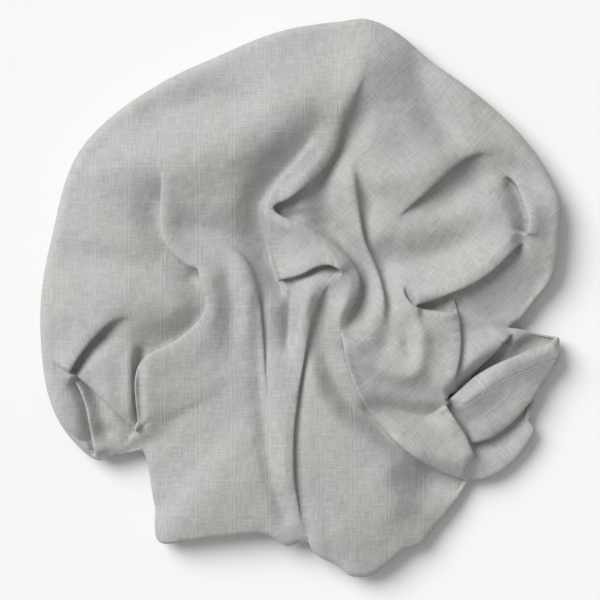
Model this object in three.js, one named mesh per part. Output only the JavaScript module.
// A muslin blanket dropped in a round heap: one thin sheet, its folds lapping over one another,
// its rim rolled under and the rest of the cloth tucked beneath in three more layers.
// Plan lengths in the tables run right (x) and toward the viewer (y) from the plan's back left corner.
import * as THREE from 'three';

const THICKNESS = 1.5;
const LAYER_PITCH = 4;
const PLAN_CENTRE = { x: 300, y: 300 };
const POLE = { x: 300, y: 348 };

// The heap above the rolled rim.
const MIDDLE_HEIGHT = 34;
const DOME_HEIGHT = 9;
const DOME_REACH = 80;
const RIM_SHELF = 20;
const EVEN_BLEND = 60;
const LOWEST_TOP = 11.4;
const LOW_KNEE = 5;
const HELD_FADE = 1.7;

// The layers under the heap.
const TUCK_SHARE = 0.42;
const SECOND_TURN_INSET = 14;
const FIRST_SPAN = 150;
const NEXT_SPAN = 100;
const EVEN_STEP = 5;
const EVEN_LEAST = 8;
const EVEN_MEAN = 20;
const TURN_WAVES = [
  { waves: 3, high: 7, start: 1 },
  { waves: 7, high: 4, start: 0 },
];

// How a lap runs back under itself: where its turns lie in its half width, and the throw's own scale.
const TURN_PLACE = 0.447;
const THROW_SCALE = 3.494;
const LAP_FALL = 0.7;

// Mesh fineness.
const MESH_ERROR = 0.5;
const SHORTEST_EDGE = 3.4;
const LONGEST_EDGE = 46;
const MOST_TRIANGLES = 5840;
const SPLITS_A_ROUND = 120;
const HIDDEN_WEIGHT = 0.25;
const RING_SIDES = 72;
const INNER_RINGS = [
  { share: 0.14, sides: 9 },
  { share: 0.3, sides: 18 },
  { share: 0.48, sides: 24 },
  { share: 0.68, sides: 36 },
  { share: 0.86, sides: 72 },
  { share: 1, sides: 72 },
];
const ROLL_SHARES = [0.3, 0.65, 1];
const TURN_SHARES = [0, 0.3, 0.7, 1];

// Round the pole, in degrees clockwise from the right: how far out the heap reaches, how high the
// sheet runs there before it rolls under, and how far the roll swings out.
const RIM_COLUMNS = ['at', 'out', 'high', 'roll'];
const RIM_ROWS = [
  [-180, 258, 35, 15], [-157.5, 269, 35, 14], [-134, 296, 33, 12], [-110.5, 297, 31, 11],
  [-90, 320, 30, 10], [-83, 328, 29, 9], [-78.5, 335, 29, 9], [-62.5, 312, 29, 9], [-31, 301, 33, 13],
  [-23.5, 284, 33, 13], [-15, 261, 30, 11], [-12, 244, 28, 10], [-8, 226, 25, 8], [-5.5, 211, 23, 6],
  [-5, 218, 23, 6], [-3, 244, 21, 5], [-2, 260, 20, 5], [0, 260, 20, 5], [12.5, 241, 22, 6],
  [17.5, 241, 21, 6], [19.5, 250, 20, 6], [29.5, 241, 20, 6], [35, 229, 20, 6], [38.5, 216, 19, 6],
  [43, 218.7, 18, 5.5], [53.5, 225, 18, 5], [58.5, 231, 20, 5],
  [62.5, 227, 22, 5], [73, 238, 23, 7], [77, 234, 24, 7],
  [80.5, 219, 24, 7], [85, 207, 26, 6], [86.5, 201, 26, 6], [87.5, 192, 26, 6], [90, 193, 27, 7],
  [93.5, 197, 28, 7], [100, 188, 29, 6], [113, 204, 29, 6], [120.5, 223, 28, 6], [126, 239, 25, 5],
  [132.5, 214, 21, 5], [146.5, 188, 24, 6], [149.5, 212, 23, 6], [151, 231, 23, 6], [153, 237, 26, 8],
  [168, 255, 34, 13],
];

// Broad swells of the heap.
const SWELLS = [
  { x: 185, y: 150, wide: 85, high: 6 },
  { x: 240, y: 210, wide: 120, high: 8 },
  { x: 325, y: 112, wide: 42, high: 10 },
  { x: 100, y: 290, wide: 42, high: 6 },
  { x: 318, y: 282, wide: 34, high: 8 },
  { x: 336, y: 218, wide: 26, high: -9 },
  { x: 485, y: 205, wide: 40, high: 3 },
  { x: 405, y: 340, wide: 40, high: 8 },
  { x: 215, y: 480, wide: 60, high: 6 },
  { x: 350, y: 510, wide: 50, high: 8 },
  { x: 518, y: 242, wide: 6, high: -8 },
  { x: 420, y: 80, wide: 50, high: 2 },
  { x: 470, y: 350, wide: 35, high: 7 },
];

// Laps, where the sheet runs back under itself. Walking the path, the high side is on the left.
// up and down: how far each side is raised and lowered, and how far that reaches; over: the throw;
// half: half the width of cloth in the lap; fade: the share of the path over which each end dies out.
const LAP_COLUMNS = [
  'name', 'up', 'upReach', 'down', 'downReach', 'over', 'half', 'fadeIn', 'fadeOut', 'path',
];
const LAP_ROWS = [
  ['left hook', 6, 16, 9, 18, 5, 6.5, 0.3, 0.12,
    [168, 166, 163, 203, 163, 232, 172, 250, 190, 266, 208, 274]],
  ['column side', 6, 24, 11, 18, 6, 7, 0.08, 0.17,
    [199, 262, 204, 288, 208, 304, 200, 321, 178, 340, 148, 356, 138, 376, 139, 410, 142, 444]],
  ['column edge', 5, 12, 3, 30, 2, 6, 0.6, 0.25,
    [270, 450, 265, 390, 262, 330, 257, 290, 247, 263, 230, 250, 206, 246]],
  ['ribbon edge', 7, 13, 9, 15, 4.8, 6.5, 0.07, 0.48,
    [343, 330, 348, 312, 358, 288, 354, 268, 332, 243, 302, 225, 287, 220, 277, 215, 273, 209, 278,
      204, 291, 198, 319, 174, 335, 149, 342, 124, 353, 100, 364, 70, 374, 36]],
  ['ribbon side', 4, 7, 11, 22, 0.5, 5, 0.25, 0.12,
    [322, 132, 308, 151, 294, 166, 279, 182, 269, 198, 265, 212, 269, 234, 275, 258, 282, 280, 292,
      300]],
  ['twist ridge', 5, 10, 7, 12, 2, 6, 0.2, 0.25,
    [382, 330, 383, 300, 376, 270, 363, 240, 357, 205, 353, 178, 349, 160]],
  ['pocket lip', 5, 12, 10, 9, 5, 6, 0.15, 0.15,
    [276, 279, 288, 278, 302, 274, 316, 267, 328, 265, 338, 269, 343, 276]],
  ['long fold', 4, 12, 4, 8, 4.5, 6, 0.3, 0.12,
    [304, 546, 301, 526, 297, 500, 293, 466, 294, 424, 299, 386, 306, 345, 312, 315, 322, 292, 332,
      278]],
  ['sweep', 8, 24, 8, 13, 7, 8, 0.1, 0.08,
    [344, 328, 343, 340, 347, 362, 358, 392, 380, 424, 411, 453, 440, 470, 474, 482]],
  ['right arc', 6, 24, 7, 30, 5, 6.5, 0.4, 0.3,
    [388, 222, 420, 197, 446, 173, 464, 159, 480, 153, 496, 153]],
  ['rim slit', 5, 10, 15, 14, 5, 6.5, 0.3, 0.06, [503, 170, 516, 184, 523, 204, 527, 222, 525, 236]],
  ['tongue', 10, 11, 8, 18, 6, 6.5, 0.05, 0.12,
    [412, 305, 430, 300, 446, 294, 468, 285, 488, 272, 504, 257, 514, 247, 524, 240]],
  ['tail rim', 4, 6, 7, 7, 3, 5, 0.1, 0.3, [456, 314, 432, 311, 416, 308, 406, 300, 402, 290, 406, 281]],
  ['swirl side', 3, 12, 5, 10, 4, 5.5, 0.2, 0.12,
    [449, 391, 452, 380, 457, 360, 459, 338, 456, 312, 450, 294]],
  ['panel edge', 6, 20, 11, 9, 6, 6.5, 0.05, 0.12,
    [442, 398, 456, 389, 470, 376, 484, 361, 498, 347, 512, 331]],
  ['sweep end', 5, 16, 9, 12, 5, 6, 0.2, 0.06, [479, 460, 471, 450, 464, 434, 454, 419, 444, 404]],
  ['flap fold', 4, 20, 9, 12, 5, 6, 0.06, 0.15, [469, 444, 490, 437, 510, 423, 529, 402, 540, 384]],
  ['hem edge', 9, 26, 12, 9, 5, 6, 0.05, 0.06,
    [558, 341, 541, 346, 520, 354, 505, 360, 490, 367, 474, 377, 460, 389, 446, 402]],
  ['pouch top', 7, 18, 11, 12, 5, 6, 0.05, 0.5, [70, 373, 82, 354, 96, 337, 114, 321, 138, 312]],
  ['pouch side', 5, 14, 9, 9, 3.5, 6, 0.25, 0.1, [74, 374, 87, 404, 93, 436, 98, 458]],
  ['pouch flap', 6, 16, 10, 12, 5, 6, 0.1, 0.06, [75, 372, 88, 383, 104, 398, 124, 417, 140, 432]],
  ['roll crease', 3, 12, 6, 10, 5, 7, 0.2, 0.15, [46, 390, 52, 402, 62, 419, 78, 435, 92, 442]],
];

// Soft folds, rounded right through: how high (low, when negative), how wide, and the path.
const FOLD_COLUMNS = ['high', 'wide', 'path'];
const FOLD_ROWS = [
  [-8, 11, [150, 116, 200, 104, 256, 106]], [4, 15, [170, 70, 230, 60, 292, 50]],
  [10, 19, [100, 172, 150, 168, 200, 160, 250, 140]], [8, 22, [250, 112, 290, 100, 328, 88]],
  [-11, 13, [327, 120, 314, 138, 293, 160, 272, 183, 259, 206, 260, 236]],
  [-6, 11, [94, 148, 124, 175, 152, 200, 152, 228]], [-5, 10, [64, 258, 110, 262, 160, 266]],
  [4, 13, [52, 318, 90, 306, 140, 300, 192, 303]],
  [-11, 13, [178, 226, 210, 232, 238, 236, 258, 250, 266, 276]],
  [-12, 10, [270, 240, 280, 270, 288, 300, 291, 344]], [6, 8, [240, 262, 247, 300, 250, 340]],
  [-6, 6, [258, 300, 259, 360, 264, 420, 272, 475, 287, 522]], [5, 9, [208, 262, 215, 300, 216, 344]],
  [-6, 4, [294, 286, 289, 318, 288, 350]], [6, 7, [311, 282, 303, 312, 296, 350]],
  [-3.5, 12, [232, 268, 234, 310, 232, 350]], [3, 8, [280, 356, 279, 420, 284, 490]],
  [7, 5, [349, 296, 338, 318, 340, 344, 350, 380, 362, 404]],
  [-9, 8, [322, 302, 320, 332, 326, 366, 342, 396, 364, 418, 388, 434]],
  [5, 9, [312, 356, 320, 398, 346, 428, 380, 448]], [-11, 9, [394, 474, 412, 483, 428, 488, 438, 489]],
  [-6, 9, [424, 468, 446, 478, 460, 483]], [6, 10, [418, 444, 442, 456, 464, 464]],
  [10, 17, [372, 52, 358, 90, 346, 122]], [-15, 15, [416, 62, 428, 92, 444, 122, 462, 148]],
  [7, 11, [430, 72, 452, 104, 470, 130]], [-18, 13, [460, 174, 494, 170, 515, 178, 531, 195]],
  [-7, 10, [440, 202, 470, 184, 498, 186]],
  [3, 8, [342, 168, 345, 200, 352, 234, 362, 260, 374, 292, 378, 320, 366, 338, 350, 336]],
  [-14, 11, [362, 108, 347, 140, 331, 168, 320, 192, 324, 214, 340, 236, 356, 256, 367, 284, 361, 308]],
  [-8, 6, [285, 211, 298, 215]], [-7, 7, [356, 160, 365, 184, 372, 212]],
  [-16, 15, [384, 256, 410, 266, 440, 258, 470, 238]], [7, 13, [366, 184, 396, 180, 426, 164]],
  [-5, 8, [384, 250, 387, 285, 390, 320, 383, 350]],
  [6, 6, [346, 342, 362, 358, 384, 369, 407, 376, 420, 360, 420, 330]], [-5, 5, [404, 322, 408, 354]],
  [-10, 7, [378, 404, 396, 411, 418, 415, 444, 414]], [-11, 16, [468, 318, 505, 300, 540, 272]],
  [-7, 5, [424, 304, 446, 303]], [4, 9, [402, 279, 430, 273, 462, 264, 490, 248, 512, 232]],
  [-8, 7, [104, 428, 122, 440, 142, 450]], [-8, 4, [141, 350, 140, 390, 142, 426]],
  [-12, 8, [88, 376, 97, 404, 104, 438]], [9, 6, [133, 352, 132, 384, 134, 412]],
  [13, 17, [390, 460, 398, 505]], [-6, 7, [455, 391, 478, 373, 496, 360]],
  [-12, 5.5, [517, 347, 528, 344, 540, 341]],
  [3, 8, [494, 165, 513, 174, 527, 194, 533, 216, 531, 236]], [-5, 9, [478, 457, 499, 446, 516, 431]],
  [-2, 9, [56, 352, 96, 345, 132, 336, 190, 335]],
];

const PATH_STEPS = 6;

function rowsOf(columns, rows) {
  return rows.map((row) => Object.fromEntries(columns.map((name, k) => [name, row[k]])));
}

// A smooth line through a path's points.
function smoothLine(path) {
  const p = [];
  for (let k = 0; k < path.length; k += 2) {
    p.push([path[k], path[k + 1]]);
  }
  const line = [];
  for (let k = 0; k + 1 < p.length; k += 1) {
    const b = p[k];
    const c = p[k + 1];
    const a = k > 0 ? p[k - 1] : [2 * b[0] - c[0], 2 * b[1] - c[1]];
    const d = k + 2 < p.length ? p[k + 2] : [2 * c[0] - b[0], 2 * c[1] - b[1]];
    for (let j = 0; j < PATH_STEPS; j += 1) {
      const t = j / PATH_STEPS;
      line.push([0, 1].map((i) => 0.5 * (2 * b[i] + (c[i] - a[i]) * t
        + (2 * a[i] - 5 * b[i] + 4 * c[i] - d[i]) * t * t
        + (3 * b[i] - 3 * c[i] + d[i] - a[i]) * t * t * t)));
    }
  }
  line.push(p[p.length - 1]);
  return line;
}

function ease(t) {
  const u = Math.min(1, Math.max(0, t));
  return u * u * (3 - 2 * u);
}

// The rim's rows as a smooth loop that never overshoots.
function rimLoop() {
  const rows = rowsOf(RIM_COLUMNS, RIM_ROWS);
  const n = rows.length;
  const at = (k) => rows[((k % n) + n) % n].at + 360 * Math.floor(k / n);
  const slopes = {};
  for (const name of ['out', 'high', 'roll']) {
    const value = (k) => rows[((k % n) + n) % n][name];
    slopes[name] = rows.map((row, k) => {
      const before = at(k) - at(k - 1);
      const after = at(k + 1) - at(k);
      const s0 = (value(k) - value(k - 1)) / before;
      const s1 = (value(k + 1) - value(k)) / after;
      if (s0 * s1 <= 0) {
        return 0;
      }
      const w0 = 2 * after + before;
      const w1 = after + 2 * before;
      return (w0 + w1) / (w0 / s0 + w1 / s1);
    });
  }
  return (degrees, name) => {
    const d = ((degrees + 180) % 360 + 360) % 360 - 180;
    let k = n - 1;
    while (k > 0 && rows[k].at > d) {
      k -= 1;
    }
    const h = at(k + 1) - at(k);
    const t = (d - at(k)) / h;
    const y0 = rows[k][name];
    const y1 = rows[(k + 1) % n][name];
    const m0 = slopes[name][k] * h;
    const m1 = slopes[name][(k + 1) % n] * h;
    return y0 * (2 * t ** 3 - 3 * t ** 2 + 1) + m0 * (t ** 3 - 2 * t ** 2 + t)
      + y1 * (3 * t ** 2 - 2 * t ** 3) + m1 * (t ** 3 - t ** 2);
  };
}

const rimAt = rimLoop();

const LAPS = rowsOf(LAP_COLUMNS, LAP_ROWS).map((lap) => {
  const line = smoothLine(lap.path);
  const spans = [];
  let total = 0;
  for (let k = 0; k + 1 < line.length; k += 1) {
    const dx = line[k + 1][0] - line[k][0];
    const dy = line[k + 1][1] - line[k][1];
    const long = Math.hypot(dx, dy);
    spans.push({ x: line[k][0], y: line[k][1], dx, dy, long, start: total, nx: -dy / long, ny: dx / long });
    total += long;
  }
  const corners = line.map((point, k) => {
    const a = spans[Math.max(0, k - 1)];
    const b = spans[Math.min(spans.length - 1, k)];
    const x = a.nx + b.nx;
    const y = a.ny + b.ny;
    return [x / Math.hypot(x, y), y / Math.hypot(x, y)];
  });
  const reach = 2.4 * Math.max(lap.upReach, lap.downReach) + lap.half;
  const xs = line.map((p) => p[0]);
  const ys = line.map((p) => p[1]);
  const box = {
    x0: Math.min(...xs) - reach,
    x1: Math.max(...xs) + reach,
    y0: Math.min(...ys) - reach,
    y1: Math.max(...ys) + reach,
  };
  return { ...lap, spans, corners, total, box };
});

// Soft folds as dots along their paths.
const DOTS = [];
for (const fold of rowsOf(FOLD_COLUMNS, FOLD_ROWS)) {
  const line = smoothLine(fold.path);
  const marks = [0];
  for (let k = 1; k < line.length; k += 1) {
    marks.push(marks[k - 1] + Math.hypot(line[k][0] - line[k - 1][0], line[k][1] - line[k - 1][1]));
  }
  const total = marks[marks.length - 1];
  const count = Math.max(1, Math.ceil(total / (0.5 * fold.wide)));
  const step = total / count;
  let k = 0;
  for (let j = 0; j <= count; j += 1) {
    const s = j * step;
    while (k + 2 < marks.length && marks[k + 1] < s) {
      k += 1;
    }
    const t = (s - marks[k]) / (marks[k + 1] - marks[k]);
    const high = (fold.high * step) / (fold.wide * Math.sqrt(2 * Math.PI));
    DOTS.push({
      x: line[k][0] + (line[k + 1][0] - line[k][0]) * t,
      y: line[k][1] + (line[k + 1][1] - line[k][1]) * t,
      wide: fold.wide,
      high,
    });
  }
}
for (const swell of SWELLS) {
  DOTS.push(swell);
}

// Where a point lies beside a lap: how far along, how far to the low side, and the way to that side.
function beside(lap, x, y) {
  let best = Infinity;
  let found = null;
  let at = 0;
  for (let k = 0; k < lap.spans.length; k += 1) {
    const s = lap.spans[k];
    const t = Math.min(1, Math.max(0, ((x - s.x) * s.dx + (y - s.y) * s.dy) / (s.long * s.long)));
    const gx = x - s.x - s.dx * t;
    const gy = y - s.y - s.dy * t;
    const gap = gx * gx + gy * gy;
    if (gap < best) {
      best = gap;
      at = k;
      found = { t, gx, gy };
    }
  }
  const s = lap.spans[at];
  const a = lap.corners[at];
  const b = lap.corners[at + 1];
  const nx = a[0] + (b[0] - a[0]) * found.t;
  const ny = a[1] + (b[1] - a[1]) * found.t;
  const long = Math.hypot(nx, ny);
  const side = found.gx * nx + found.gy * ny < 0 ? -1 : 1;
  return {
    along: (s.start + s.long * found.t) / lap.total,
    off: side * Math.sqrt(best),
    nx: nx / long,
    ny: ny / long,
  };
}

// Where the laps, one after another, bring a point of the plan, and how far they raise it.
function lapped(planX, planY) {
  let x = planX;
  let y = planY;
  let rise = 0;
  for (const lap of LAPS) {
    const { box } = lap;
    if (x < box.x0 || x > box.x1 || y < box.y0 || y > box.y1) {
      continue;
    }
    const at = beside(lap, x, y);
    const full = ease(at.along / lap.fadeIn) * ease((1 - at.along) / lap.fadeOut);
    if (full <= 0) {
      continue;
    }
    const over = lap.over * full;
    const t = (at.off + over - TURN_PLACE * lap.half) / lap.half;
    if (Math.abs(t) < 1) {
      const thrown = -THROW_SCALE * t * (1 - t * t) ** 2 * over;
      x += thrown * at.nx;
      y += thrown * at.ny;
    }
    const fallen = ease((t + LAP_FALL) / (2 * LAP_FALL));
    const up = lap.up * full * Math.exp(-((Math.min(at.off, 0) / lap.upReach) ** 2));
    const down = lap.down * full * Math.exp(-((Math.max(at.off, 0) / lap.downReach) ** 2));
    rise += up * (1 - fallen) - down * fallen;
  }
  return { x, y, rise };
}

function swelled(x, y) {
  let rise = 0;
  for (const dot of DOTS) {
    const away = ((x - dot.x) ** 2 + (y - dot.y) ** 2) / (2 * dot.wide * dot.wide);
    if (away < 9) {
      rise += dot.high * Math.exp(-away);
    }
  }
  return rise;
}

// The rim without its notches, for the layers beneath: the least reach about an angle, evened out.
const EVEN = [];
for (let at = -180; at < 180; at += EVEN_STEP) {
  let least = Infinity;
  for (let d = at - EVEN_LEAST; d <= at + EVEN_LEAST; d += 1) {
    least = Math.min(least, rimAt(d, 'out') - rimAt(d, 'roll'));
  }
  EVEN.push(least);
}

function evenStart(degrees) {
  let sum = 0;
  let weights = 0;
  EVEN.forEach((least, k) => {
    const away = Math.abs(((degrees - (k * EVEN_STEP - 180) + 540) % 360) - 180) / EVEN_MEAN;
    if (away < 1) {
      const weight = (1 - away * away) ** 2;
      sum += weight * least;
      weights += weight;
    }
  });
  return sum / weights;
}

// The rim's measures at an angle: where the roll starts and how long each stretch of the sheet is.
function rimMeasures(angle) {
  const degrees = (angle * 180) / Math.PI;
  const roll = rimAt(degrees, 'roll');
  const high = rimAt(degrees, 'high');
  const start = rimAt(degrees, 'out') - roll;
  const under = THICKNESS / 2 + 2 * LAYER_PITCH;
  const drop = (high - under) / 2;
  const arc = Math.PI * Math.sqrt((roll * roll + drop * drop) / 2);
  const even = evenStart(degrees);
  const tuck = TUCK_SHARE * even;
  let back = even - SECOND_TURN_INSET;
  for (const wave of TURN_WAVES) {
    back -= wave.high * Math.sin(wave.waves * angle + wave.start);
  }
  const turn = (Math.PI * LAYER_PITCH) / 2;
  const inward = even + FIRST_SPAN;
  const outward = inward + turn + NEXT_SPAN;
  const rings = [
    ...ROLL_SHARES.map((share) => start + share * arc),
    ...TURN_SHARES.map((share) => inward + share * turn),
    ...TURN_SHARES.map((share) => outward + share * turn),
    outward + turn + NEXT_SPAN,
  ];
  return { even, high, roll, start, under, drop, arc, tuck, back, turn, inward, outward, rings };
}

// Where a point of the plan comes to lie.
function place(x, y) {
  const spread = lapped(x, y);
  const rise = spread.rise + swelled(spread.x, spread.y);
  const vx = spread.x - POLE.x;
  const vy = spread.y - POLE.y;
  const r = Math.max(Math.hypot(vx, vy), 1e-9);
  const angle = Math.atan2(vy, vx);
  const m = rimMeasures(angle);
  const out = { x: vx / r, y: vy / r };
  const half = THICKNESS / 2;
  const along = r - m.start;
  const spot = (radius, height) => [POLE.x + out.x * radius, POLE.y + out.y * radius, height];
  if (along <= 0) {
    const share = ease((m.even - r) / EVEN_BLEND);
    const deep = m.start + (m.even - m.start) * share - r;
    const inner = Math.min(1, deep / DOME_REACH);
    const outer = (1 - ease((deep - RIM_SHELF) / (deep + r - RIM_SHELF))) ** 2;
    const rim = MIDDLE_HEIGHT + (m.high - MIDDLE_HEIGHT) * outer;
    const height = rim + DOME_HEIGHT * (1 - (1 - inner) ** 2) + rise;
    const knee = LOWEST_TOP + LOW_KNEE;
    return spot(r, height > knee ? height : LOWEST_TOP + LOW_KNEE * Math.exp((height - knee) / LOW_KNEE));
  }
  if (along < m.arc) {
    const turned = (along / m.arc) * Math.PI;
    const nr = m.drop * Math.sin(turned);
    const nz = m.roll * Math.cos(turned);
    const long = Math.hypot(nr, nz);
    const held = Math.max(rise, LOWEST_TOP - m.high) * (1 - ease(HELD_FADE * along / m.arc));
    return spot(m.start + m.roll * Math.sin(turned) + (held * nr) / long,
      m.under + m.drop + m.drop * Math.cos(turned) + (held * nz) / long);
  }
  const between = (from, to, p, q) => p + ((q - p) * (r - from)) / (to - from);
  if (r < m.inward) {
    return spot(between(m.start + m.arc, m.inward, m.start, m.tuck), m.under);
  }
  if (r < m.inward + m.turn) {
    const turned = (r - m.inward) / (LAYER_PITCH / 2);
    return spot(m.tuck - (LAYER_PITCH / 2) * Math.sin(turned),
      m.under - LAYER_PITCH / 2 + (LAYER_PITCH / 2) * Math.cos(turned));
  }
  if (r < m.outward) {
    return spot(between(m.inward + m.turn, m.outward, m.tuck, m.back), half + LAYER_PITCH);
  }
  if (r < m.outward + m.turn) {
    const turned = (r - m.outward) / (LAYER_PITCH / 2);
    return spot(m.back + (LAYER_PITCH / 2) * Math.sin(turned),
      half + LAYER_PITCH / 2 + (LAYER_PITCH / 2) * Math.cos(turned));
  }
  return spot(between(m.outward + m.turn, m.outward + m.turn + NEXT_SPAN, m.back, m.tuck), half);
}

// The coarse plan: rings of points from the pole out to the sheet's own edge.
function coarsePlan() {
  const plan = [[POLE.x, POLE.y]];
  const rings = [{ first: 0, sides: 1 }];
  const outer = rimMeasures(0).rings.map((_, mark) => ({ mark, sides: RING_SIDES }));
  for (const { share, mark, sides } of [...INNER_RINGS, ...outer]) {
    rings.push({ first: plan.length, sides });
    for (let k = 0; k < sides; k += 1) {
      const angle = -Math.PI + (2 * Math.PI * k) / sides;
      const m = rimMeasures(angle);
      const r = mark === undefined ? share * m.start : m.rings[mark];
      plan.push([POLE.x + r * Math.cos(angle), POLE.y + r * Math.sin(angle)]);
    }
  }
  const triangles = [];
  for (let k = 0; k + 1 < rings.length; k += 1) {
    const a = rings[k];
    const b = rings[k + 1];
    if (a.sides === 1) {
      for (let j = 0; j < b.sides; j += 1) {
        triangles.push([a.first, b.first + j, b.first + ((j + 1) % b.sides)]);
      }
      continue;
    }
    let i = 0;
    let j = 0;
    while (i < a.sides || j < b.sides) {
      const outerNext = (j + 1) / b.sides;
      const innerNext = (i + 1) / a.sides;
      const inner = a.first + (i % a.sides);
      const edge = b.first + (j % b.sides);
      if (j < b.sides && (i >= a.sides || outerNext <= innerNext + 1e-9)) {
        triangles.push([inner, edge, b.first + ((j + 1) % b.sides)]);
        j += 1;
      } else {
        triangles.push([inner, edge, a.first + ((i + 1) % a.sides)]);
        i += 1;
      }
    }
  }
  return { plan, triangles };
}

// Where an edge is best split: on the turn of a lap that it crosses, else halfway.
function splitShare(a, b) {
  let share = 0.5;
  let away = 0.3;
  for (const lap of LAPS) {
    const { box } = lap;
    if (Math.max(a[0], b[0]) < box.x0 || Math.min(a[0], b[0]) > box.x1
      || Math.max(a[1], b[1]) < box.y0 || Math.min(a[1], b[1]) > box.y1) {
      continue;
    }
    const p = beside(lap, a[0], a[1]);
    const q = beside(lap, b[0], b[1]);
    if (Math.min(Math.abs(p.off), Math.abs(q.off)) > 2.5 * lap.half) {
      continue;
    }
    const along = (p.along + q.along) / 2;
    const full = ease(along / lap.fadeIn) * ease((1 - along) / lap.fadeOut);
    if (full < 0.15) {
      continue;
    }
    const middle = TURN_PLACE * lap.half - lap.over * full;
    for (const place of [-1, -TURN_PLACE, 0, TURN_PLACE, 1]) {
      const line = middle + place * lap.half;
      const s = (line - p.off) / (q.off - p.off);
      if (s > 0 && s < 1 && Math.abs(s - 0.5) < away) {
        away = Math.abs(s - 0.5);
        share = s;
      }
    }
  }
  return share;
}

// A triangle cut at the new points on its sides; the points of uncut sides are undefined.
function cutTriangle(corners, mid, placed) {
  const [a, b, c] = corners;
  const cut = mid.filter((m) => m !== undefined).length;
  if (cut === 0) {
    return [corners];
  }
  if (cut === 3) {
    return [[a, mid[0], mid[2]], [mid[0], b, mid[1]], [mid[2], mid[1], c], [mid[0], mid[1], mid[2]]];
  }
  const first = cut === 1
    ? mid.findIndex((m) => m !== undefined)
    : (mid.findIndex((m) => m === undefined) + 1) % 3;
  const [p, q, s] = [0, 1, 2].map((i) => corners[(first + i) % 3]);
  const [pq, qs] = [mid[first], mid[(first + 1) % 3]];
  if (cut === 1) {
    return [[p, pq, s], [pq, q, s]];
  }
  const gap = (i, j) => Math.hypot(...[0, 1, 2].map((n) => placed[i][n] - placed[j][n]));
  const rest = gap(pq, s) <= gap(p, qs) ? [[p, pq, s], [pq, qs, s]] : [[p, pq, qs], [p, qs, s]];
  return [[pq, q, qs], ...rest];
}

// How much an edge's error counts: little under the heap, where nothing shows.
function weightAt(x, y) {
  const m = rimMeasures(Math.atan2(y - POLE.y, x - POLE.x));
  return Math.hypot(x - POLE.x, y - POLE.y) > m.start + 0.8 * m.arc ? HIDDEN_WEIGHT : 1;
}

// Splits the edges that stray most from the surface, and each split triangle's longest edge, until
// the budget of triangles is used.
function refine({ plan, triangles }) {
  const placed = plan.map(([x, y]) => place(x, y));
  const known = new Map();
  const keyOf = (a, b) => (a < b ? a * 1e6 + b : b * 1e6 + a);
  const edgeOf = (a, b) => {
    const key = keyOf(a, b);
    let edge = known.get(key);
    if (!edge) {
      const share = splitShare(plan[a], plan[b]);
      const at = (s) => [0, 1].map((i) => plan[a][i] + (plan[b][i] - plan[a][i]) * s);
      let error = 0;
      let middle = null;
      for (const s of [share, 0.25, 0.5, 0.75]) {
        const p = place(...at(s));
        middle = middle ?? p;
        error = Math.max(error, Math.hypot(...[0, 1, 2].map((i) => p[i] - placed[a][i]
          - (placed[b][i] - placed[a][i]) * s)));
      }
      const long = Math.hypot(...[0, 1, 2].map((i) => placed[b][i] - placed[a][i]));
      const planLong = Math.hypot(plan[b][0] - plan[a][0], plan[b][1] - plan[a][1]);
      const point = at(share);
      edge = { key, error: error * weightAt(...point), long, planLong, point, middle };
      known.set(key, edge);
    }
    return edge;
  };
  let mesh = triangles;
  let batch = SPLITS_A_ROUND;
  while (batch > 0) {
    const sides = mesh.map(([a, b, c]) => [edgeOf(a, b), edgeOf(b, c), edgeOf(c, a)]);
    const strays = [...new Set(sides.flat())].filter((edge) => (edge.error > MESH_ERROR
      && edge.planLong > SHORTEST_EDGE) || edge.long > LONGEST_EDGE);
    strays.sort((a, b) => b.error - a.error);
    const split = new Set(strays.slice(0, batch));
    if (split.size === 0) {
      break;
    }
    for (let more = true; more;) {
      more = false;
      for (const three of sides) {
        if (three.some((edge) => split.has(edge))) {
          const longest = three.reduce((u, v) => (v.long > u.long ? v : u));
          if (!split.has(longest)) {
            split.add(longest);
            more = true;
          }
        }
      }
    }
    const added = sides.reduce((sum, three) => sum + three.filter((edge) => split.has(edge)).length, 0);
    if (mesh.length + added > MOST_TRIANGLES) {
      batch = Math.floor(batch / 2);
      continue;
    }
    const made = new Map();
    for (const edge of split) {
      made.set(edge.key, plan.length);
      plan.push(edge.point);
      placed.push(edge.middle);
    }
    mesh = mesh.flatMap((corners, k) => {
      const mids = sides[k].map((edge) => made.get(edge.key));
      return cutTriangle(corners, mids, placed);
    });
  }
  return { plan, placed, triangles: mesh };
}

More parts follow.
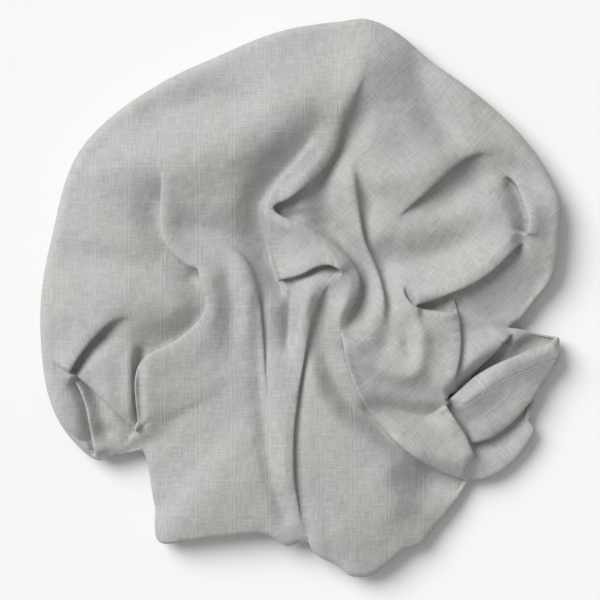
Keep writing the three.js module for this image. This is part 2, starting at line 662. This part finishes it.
// Both faces of the sheet, closed along its edge.
function closedSheet({ placed, triangles }) {
  const normals = placed.map(() => [0, 0, 0]);
  for (const [a, b, c] of triangles) {
    const u = [0, 1, 2].map((i) => placed[b][i] - placed[a][i]);
    const v = [0, 1, 2].map((i) => placed[c][i] - placed[a][i]);
    const n = [u[1] * v[2] - u[2] * v[1], u[2] * v[0] - u[0] * v[2], u[0] * v[1] - u[1] * v[0]];
    for (const k of [a, b, c]) {
      for (let i = 0; i < 3; i += 1) {
        normals[k][i] += n[i];
      }
    }
  }
  const count = placed.length;
  const points = [];
  for (const side of [1, -1]) {
    placed.forEach((p, k) => {
      const long = Math.hypot(...normals[k]);
      points.push(p.map((value, i) => value + (side * THICKNESS * normals[k][i]) / (2 * long)));
    });
  }
  const directed = new Set();
  for (const [a, b, c] of triangles) {
    directed.add(a * 1e6 + b).add(b * 1e6 + c).add(c * 1e6 + a);
  }
  const faces = triangles.flatMap(([a, b, c]) => [[a, b, c], [a + count, c + count, b + count]]);
  for (const [a, b, c] of triangles) {
    for (const [p, q] of [[a, b], [b, c], [c, a]]) {
      if (!directed.has(q * 1e6 + p)) {
        faces.push([p, p + count, q], [q, p + count, q + count]);
      }
    }
  }
  return { points, faces };
}

function blanket() {
  const { points, faces } = closedSheet(refine(coarsePlan()));
  const position = [];
  for (const [x, y, z] of points) {
    position.push(x - PLAN_CENTRE.x, PLAN_CENTRE.y - y, z);
  }
  const geometry = new THREE.BufferGeometry();
  geometry.setAttribute('position', new THREE.Float32BufferAttribute(position, 3));
  geometry.setIndex(faces.flatMap(([a, b, c]) => [a, c, b]));
  geometry.computeBoundingBox();
  const middle = geometry.boundingBox.getCenter(new THREE.Vector3());
  geometry.translate(-middle.x, -middle.y, -geometry.boundingBox.min.z);
  geometry.computeVertexNormals();
  const cloth = new THREE.MeshStandardMaterial({ color: 0xa9aaa8, roughness: 0.95 });
  const mesh = new THREE.Mesh(geometry, cloth);
  mesh.name = 'blanket';
  return mesh;
}

const model = new THREE.Group();
model.name = 'muslin_blanket';
model.add(blanket());

export default model;
